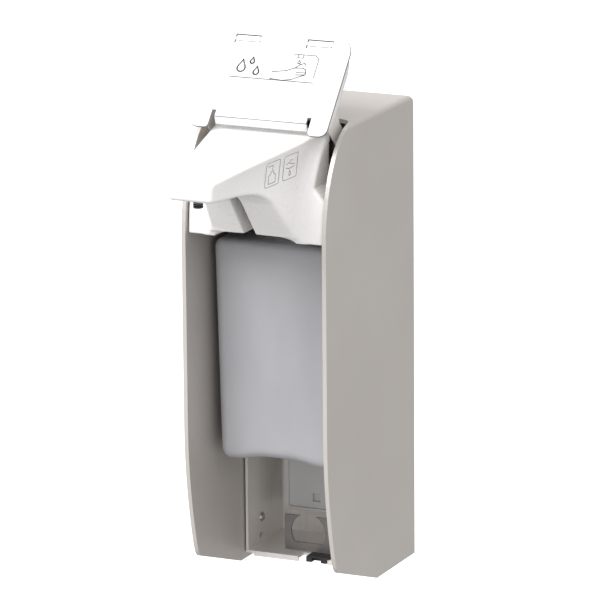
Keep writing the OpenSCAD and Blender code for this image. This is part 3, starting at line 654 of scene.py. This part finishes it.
def slope_matrix(depth):
    """Places a plate drawn flat on the flap's slope, its middle plane depth below the printed face."""
    origin = on_slope(0, 0, -depth)
    return Matrix.Translation(origin) @ Matrix.Rotation(FLAP_LEAN, 4, "X")


def louvre_outlines():
    """Outlines of the four louvre slots."""
    outlines = []
    for side in (-1, 1):
        for low in LOUVRE_V:
            u0, u1 = side * LOUVRE_X - LOUVRE_HALF, side * LOUVRE_X + LOUVRE_HALF
            outlines.append([(u0, low), (u1, low), (u1, low + LOUVRE_W), (u0, low + LOUVRE_W)])
    return outlines


def build_flap():
    outline = mirrored(
        [(NOTCH_HALF, FOLD_V), (NOTCH_HALF, 15.4), (37.4, 15.4)]
        + circle_arc(40.5, 4.5, 3, 180, 270, 5)
        + circle_arc(INNER_HALF - 6, 7.5, 6, 270, 360, 6)
        + circle_arc(INNER_HALF - 14, FLAP_LEN - 14, 14, 0, 90, 12)
    )
    outlines = [outline] + louvre_outlines()
    plate = plate_object("flap_sheet", outlines, slope_matrix(FLAP_T / 2), FLAP_T, FLAP_BEVEL)
    finish_piece(plate, "flap", "white_painted_steel", replaced=["flap_plate"])
    darken_edges(plate)
    bridges()
    folded_edge()
    side_flanges()


def darken_edges(plate):
    """Painted shade: a dark grey on the rim of the flap, standing in for the shading along its edges,
    and a darker brown on the cut walls of the louvre slots, standing in for the shade inside them.
    """
    plate.data.materials.append(PAINTED_RIM_SHADE)
    plate.data.materials.append(PAINTED_SLOT_SHADE)
    foot = on_slope(0, 0, 0)
    normal = (on_slope(0, 0, 1) - foot).normalized()
    along = (on_slope(0, 1, 0) - foot).normalized()
    reach = (LOUVRE_X + LOUVRE_HALF + 0.7) * MM
    for face in plate.data.polygons:
        v = (face.center - foot).dot(along) / MM
        beside = LOUVRE_V[0] - 0.3 < v < LOUVRE_V[1] + LOUVRE_W + 0.3
        if abs(face.normal.dot(normal)) < 0.97:
            face.material_index = 2 if beside and abs(face.center.x) < reach else 1


def strip(name, rails, body, slot, thickness):
    """A sheet strip through rows of points in the row frame, thickened on both sides."""
    rows, cols = len(rails), len(rails[0])
    mesh = bpy.data.meshes.new(name)
    points = [p for row in rails for p in row]
    faces = [
        (r * cols + c, r * cols + c + 1, (r + 1) * cols + c + 1, (r + 1) * cols + c)
        for r in range(rows - 1)
        for c in range(cols - 1)
    ]
    mesh.from_pydata(points, [], faces)
    mesh.shade_smooth()
    obj = new_object(name, mesh)
    solid = obj.modifiers.new("solid", "SOLIDIFY")
    solid.thickness = thickness * MM
    solid.offset = 0
    bevel = obj.modifiers.new("bevel", "BEVEL")
    bevel.width = thickness * 0.22 * MM
    bevel.segments = 2
    bevel.limit_method = "ANGLE"
    return finish_piece(obj, body, slot)


def bridge_row(u, rise):
    """Points across a louvre bridge, highest in the middle."""
    row = []
    for k in range(7):
        crown = 0.6 + 0.4 * math.sin(math.pi * k / 6)
        row.append(on_slope(u, FLAP_LEN - 9.4 + 3.4 * k / 6, -FLAP_T / 2 + rise * crown))
    return row


def bridges():
    """Two raised louvre bridges between the slots near the top of the flap."""
    for side in (-1, 1):
        rails = []
        for i in range(13):
            w = i / 12
            rise = 0.95 * min(1, 6 * min(w, 1 - w))
            rails.append(bridge_row(side * LOUVRE_X - 9.4 + 18.8 * w, rise))
        name = "louvre_bridge_" + ("left" if side < 0 else "right")
        strip(name, rails, "flap", "white_painted_steel", 0.8)


def folded_edge():
    """The lower edge between the lugs, folded down to stiffen the flap."""
    r = 2.2
    half = NOTCH_HALF - 0.1
    rails = []
    for u in np.linspace(-half, half, 15):
        row = []
        for i in range(9):
            turn = (FLAP_LEAN + 0.18) * i / 8
            v = 12.4 - r * math.sin(turn)
            n = -FLAP_T / 2 - r * (1 - math.cos(turn))
            row.append(on_slope(u, v, n))
        down = (row[-1] - row[-2]).normalized()
        row.append(row[-1] + down * 4.6 * MM)
        rails.append(row)
    strip("folded_edge", rails, "flap", "white_painted_steel", FLAP_T)


def side_flanges():
    """Narrow flanges turned back along both sides of the flap."""
    low, high = 9, FLAP_LEN - 17
    for side in (-1, 1):
        rails = []
        for v in np.linspace(low, high, 12):
            taper = min(1, (v - low) / 8, (high - v) / 8)
            depth = 1.5 + 3.8 * max(0, taper)
            x = side * (INNER_HALF - FLAP_T / 2)
            rails.append([on_slope(x, v, -0.9 - depth * k / 4) for k in range(5)])
        name = "side_flange_" + ("left" if side < 0 else "right")
        strip(name, rails, "flap", "white_painted_steel", 1.2)


build_flap()


# ---- Printed pictograms ----


def line_drawing(name, strokes, place, width, body, slot, material):
    """Thin printed lines. Each stroke is a list of (u, v), and place gives its point and normal."""
    points, faces = [], []
    lift = 0.05 * MM
    for stroke in strokes:
        for (u0, v0), (u1, v1) in zip(stroke, stroke[1:]):
            length = math.hypot(u1 - u0, v1 - v0) or 1
            du, dv = (u1 - u0) / length * width / 2, (v1 - v0) / length * width / 2
            corners = [
                (u0 - du - dv, v0 - dv + du),
                (u0 - du + dv, v0 - dv - du),
                (u1 + du + dv, v1 + dv - du),
                (u1 + du - dv, v1 + dv + du),
            ]
            start = len(points)
            for layer in (0, 1):
                for corner in corners:
                    p, normal = place(*corner)
                    points.append(p + normal * lift * (layer + 0.4))
            faces.append([start + 4 + k for k in range(4)])
            for k in range(4):
                n = (k + 1) % 4
                faces.append([start + k, start + n, start + 4 + n, start + 4 + k])
    mesh = bpy.data.meshes.new(name)
    mesh.from_pydata(points, [], faces)
    return finish_piece(new_object(name, mesh), body, slot, material)


def rounded_frame(w, h, r):
    """A closed stroke round a rectangle with rounded corners."""
    corners = (
        circle_arc(w - r, r, r, -90, 0, 4)
        + circle_arc(w - r, h - r, r, 0, 90, 4)
        + circle_arc(r, h - r, r, 90, 180, 4)
        + circle_arc(r, r, r, 180, 270, 4)
    )
    return corners + corners[:1]


def drop_shape(cx, cy, r):
    """A falling drop: a round foot and a pointed top."""
    ring = circle_arc(cx, cy, r, 150, 390, 10)
    return [(cx, cy + 2.2 * r)] + ring + [(cx, cy + 2.2 * r)]


def side_surface(y, z):
    """The point of the right face of the nose at a depth and height, found by bisection."""
    low, high = 5.0, 60.0
    for _ in range(30):
        middle = (low + high) / 2
        inside = float(hood_outside(np.array(middle), np.array(y), np.array(z))) < 0
        low, high = (middle, high) if inside else (low, middle)
    return at(low, y, z)


def on_hood_side(u, v):
    """A point on the right face of the nose: u runs back along it, v rises with its upper ridge."""
    y = -186.5 + u
    z = 306.6 + v + 0.06 * u
    return side_surface(y, z), Vector((1, -SIDE_SLOPE, 0)).normalized()


def build_pictograms():
    """Two generic pictograms side by side on the hood: a bottle, and a hand over a drop."""
    hand = [
        [(3.4, 10.8), (6.2, 11.6), (9.6, 10.2), (13, 9.6)],
        [(3.4, 8.4), (6.6, 7.4), (10.4, 7.6), (13, 8.2)],
        [(6.2, 11.6), (8.2, 13.2), (10, 12.6)],
    ]
    bottle = [
        [(4, 2), (4, 7.4), (6.4, 9), (6.4, 10.4), (9.4, 10.4), (9.4, 9), (11.8, 7.4), (11.8, 2), (4, 2)],
        [(2.4, 14.6), (7.9, 14.6), (7.9, 11.4)],
    ]
    outline = [rounded_frame(15.8, 17.2, 1.6)]
    common = ("frame", "white_gloss_plastic")
    line_drawing("pictogram_frame_front", outline, on_hood_side, 0.32, *common, PRINT_PALE)
    line_drawing("pictogram_bottle", bottle, on_hood_side, 0.36, *common, PRINT_DARK)
    shift = 20.6

    def second(u, v):
        return on_hood_side(u + shift, v)

    line_drawing("pictogram_frame_rear", outline, second, 0.32, *common, PRINT_PALE)
    line_drawing("pictogram_hand", hand + [drop_shape(8, 3.4, 1.1)], second, 0.36, *common, PRINT_DARK)


build_pictograms()


def on_flap_face(u, v):
    """A point on the printed face of the flap and its normal."""
    return on_slope(u, v), Vector((0, -math.sin(FLAP_LEAN), math.cos(FLAP_LEAN)))


def build_flap_print():
    """Generic drops, a hand under a spout and a rule."""
    palm = [
        [(-2, 49), (8, 50.5), (14, 53.2), (20, 53.6), (22.5, 52.4)],
        [(-2, 43.5), (7, 42.8), (14, 44), (19, 46.6)],
        [(14, 53.2), (17.5, 56.2), (20.5, 57.4), (21.5, 56)],
        [(19, 46.6), (22.6, 48), (23.4, 49.6), (22.5, 52.4)],
        [(16, 49.6), (22.8, 50)],
        [(16, 47.8), (22.4, 48.4)],
    ]
    spout = [[(10, 64), (27, 64), (30, 61.5), (30, 47)], [(14, 64), (14, 61.4), (18, 61.4), (18, 64)]]
    drops = [drop_shape(-26, 50, 3.0), drop_shape(-14, 47.6, 2.0), drop_shape(-19, 55.6, 1.5)]
    rule = [[(-32.6, 42.6), (30.6, 42.6)]]
    common = ("flap", "white_painted_steel")
    line_drawing("print_hand", palm, on_flap_face, 0.75, *common, PRINT_DARK)
    spout.append(drop_shape(16, 57.6, 0.9))
    line_drawing("print_spout", spout, on_flap_face, 0.7, *common, PRINT_PALE)
    line_drawing("print_drops", drops, on_flap_face, 1.15, *common, PRINT_DARK)
    line_drawing("print_rule", rule, on_flap_face, 0.8, *common, PRINT_PALE)


build_flap_print()


# ---- Nozzle ----


def build_nozzle():
    """Ribbed outlet collar at the end of the spout."""
    profile = [(1.8, 302.1), (3.1, 302.1), (3.4, 302.5)]
    for i in range(3):
        z = 302.8 + 1.5 * i
        profile += [(3.5, z), (3.5, z + 0.7), (3.0, z + 0.9), (3.0, z + 1.3)]
    profile += [(3.5, 307.1), (3.5, 307.6), (3.25, 307.6), (3.25, 306.0), (1.8, 306.0)]
    sides = 40
    points = [
        (r * math.cos(a), NOZZLE_Y + r * math.sin(a), z)
        for r, z in profile
        for a in (2 * math.pi * k / sides for k in range(sides))
    ]
    faces = []
    for i in range(len(profile)):
        this, after = i * sides, (i + 1) % len(profile) * sides
        for k in range(sides):
            n = (k + 1) % sides
            faces.append((this + k, this + n, after + n, after + k))
    nozzle = mesh_from("nozzle_collar", points, faces, smooth=False)
    return finish_piece(nozzle, "plunger", "dark_metal", replaced=["nozzle"])


build_nozzle()


# ---- CAD nodes that stay ----

EASED = {
    "housing": 1.0,
    "chassis": 0.35,
    "upright_bracket": 0.3,
    "drain_clip": 0.3,
    "battery_box": 0.5,
    "battery_cover": 0.4,
    "flap_arms": 0.3,
    "drive_frame": 0.5,
    "press_yoke": 0.5,
    "neck_clip": 0.4,
}
LOOKS = {part["node"]: part["material_slot"] for part in frame["record"]["subparts"]}
# The upright bracket gets the darker stainless copy, painted shade, in place of its stainless sheet
# look.
LOOKS["upright_bracket"] = "stainless_painted_shade"


def ease_edges(obj, width):
    """Rounds the sharp edges of a CAD node."""
    merge = obj.modifiers.new("merge", "WELD")
    merge.merge_threshold = 1e-6
    flat = obj.modifiers.new("flat", "DECIMATE")
    flat.decimate_type = "DISSOLVE"
    flat.angle_limit = math.radians(0.6)
    bevel = obj.modifiers.new("bevel", "BEVEL")
    bevel.width = width * MM
    bevel.segments = 3
    bevel.limit_method = "ANGLE"
    bevel.angle_limit = math.radians(40)
    bevel.harden_normals = True


for node, obj in NODES.items():
    for material_slot in obj.material_slots:
        material_slot.material = MATERIALS[LOOKS[node]]
    if node in EASED:
        ease_edges(obj, EASED[node])


# ---- Stage, light and camera ----

FLOOR_HALF = 9.0
FLOOR_DROP = 0.12
SKY = (0.5, 1.4)
BEHIND = (0.78, 0.9)
BEHIND_DIM = 0.1
SUN_POWER = 2.2
SUN_FROM = (-0.38, -0.62, 0.68)
SUN_SPREAD = math.radians(35)
VIEW = tuple(math.radians(a) for a in (24.73, 14.06, -0.48))
VIEW_DISTANCE = 3.675
VIEW_TARGET = (-7.12, -60, 196.32)
LENS = 310.96


def build_stage():
    """A plain pale floor a little below the object."""
    low = CAD_BOX[0].z - FLOOR_DROP
    corners = [(-1, -1), (1, -1), (1, 1), (-1, 1)]
    mesh = bpy.data.meshes.new("floor")
    mesh.from_pydata([(FLOOR_HALF * a, FLOOR_HALF * b, low) for a, b in corners], [], [(0, 1, 2, 3)])
    floor = new_object("floor", mesh)
    shade = Shader("pale_floor", (0.97, 0.97, 0.97), 0.9)
    shade.tint(shade.noise(3, 2), (0.965, 0.965, 0.965), (0.98, 0.98, 0.98))
    mesh.materials.append(shade.mat)
    floor.visible_diffuse = False
    floor.visible_glossy = False


def map_range(tree, value, source, target):
    """A node that maps one range of a value to another."""
    node = tree.nodes.new("ShaderNodeMapRange")
    node.inputs["From Min"].default_value = source[0]
    node.inputs["From Max"].default_value = source[1]
    node.inputs["To Min"].default_value = target[0]
    node.inputs["To Max"].default_value = target[1]
    tree.links.new(value, node.inputs["Value"])
    return node.outputs["Result"]


def combine(tree, operation, a, b):
    """A node that works out one value from two."""
    node = tree.nodes.new("ShaderNodeMath")
    node.operation = operation
    tree.links.new(a, node.inputs[0])
    tree.links.new(b, node.inputs[1])
    return node.outputs[0]


def build_sky():
    """A pale sky, brighter overhead than below and dim behind the object, over a white backdrop."""
    world = bpy.context.scene.world or bpy.data.worlds.new("studio")
    bpy.context.scene.world = world
    world.use_nodes = True
    tree = world.node_tree
    split = tree.nodes.new("ShaderNodeSeparateXYZ")
    tree.links.new(tree.nodes.new("ShaderNodeTexCoord").outputs["Generated"], split.inputs[0])
    height = map_range(tree, split.outputs["Z"], (-1, 1), SKY)
    behind = map_range(tree, split.outputs["Y"], BEHIND, (1.0, BEHIND_DIM))
    seen = tree.nodes.new("ShaderNodeLightPath").outputs["Is Camera Ray"]
    strength = combine(tree, "MAXIMUM", combine(tree, "MULTIPLY", height, behind), seen)
    background = tree.nodes["Background"]
    background.inputs["Color"].default_value = (1, 1, 1, 1)
    tree.links.new(strength, background.inputs["Strength"])


def build_sun():
    """One wide, soft sun from the front left."""
    sun = bpy.data.lights.new("soft_sun", "SUN")
    sun.energy = SUN_POWER
    sun.angle = SUN_SPREAD
    lamp = new_object("soft_sun", sun)
    lamp.rotation_euler = Vector(SUN_FROM).to_track_quat("Z", "Y").to_euler()


def build_camera():
    """Camera at the measured azimuth, elevation and slight roll, with a long lens."""
    azimuth, elevation, roll = VIEW
    level = math.cos(elevation)
    back = Vector((math.sin(azimuth) * level, -math.cos(azimuth) * level, math.sin(elevation)))
    right = Vector((0, 0, 1)).cross(back).normalized()
    up = back.cross(right)
    across = right * math.cos(roll) + up * math.sin(roll)
    upward = up * math.cos(roll) - right * math.sin(roll)
    data = bpy.data.cameras.new("camera")
    data.sensor_width = 36
    data.lens = LENS
    data.clip_end = 50
    camera = new_object("camera", data)
    basis = Matrix((across, upward, back)).transposed()
    place = at(*VIEW_TARGET) + back * VIEW_DISTANCE
    camera.matrix_world = Matrix.Translation(place) @ basis.to_4x4()
    bpy.context.scene.camera = camera


build_stage()
build_sky()
build_sun()
build_camera()
bpy.context.scene.view_settings.view_transform = "Standard"
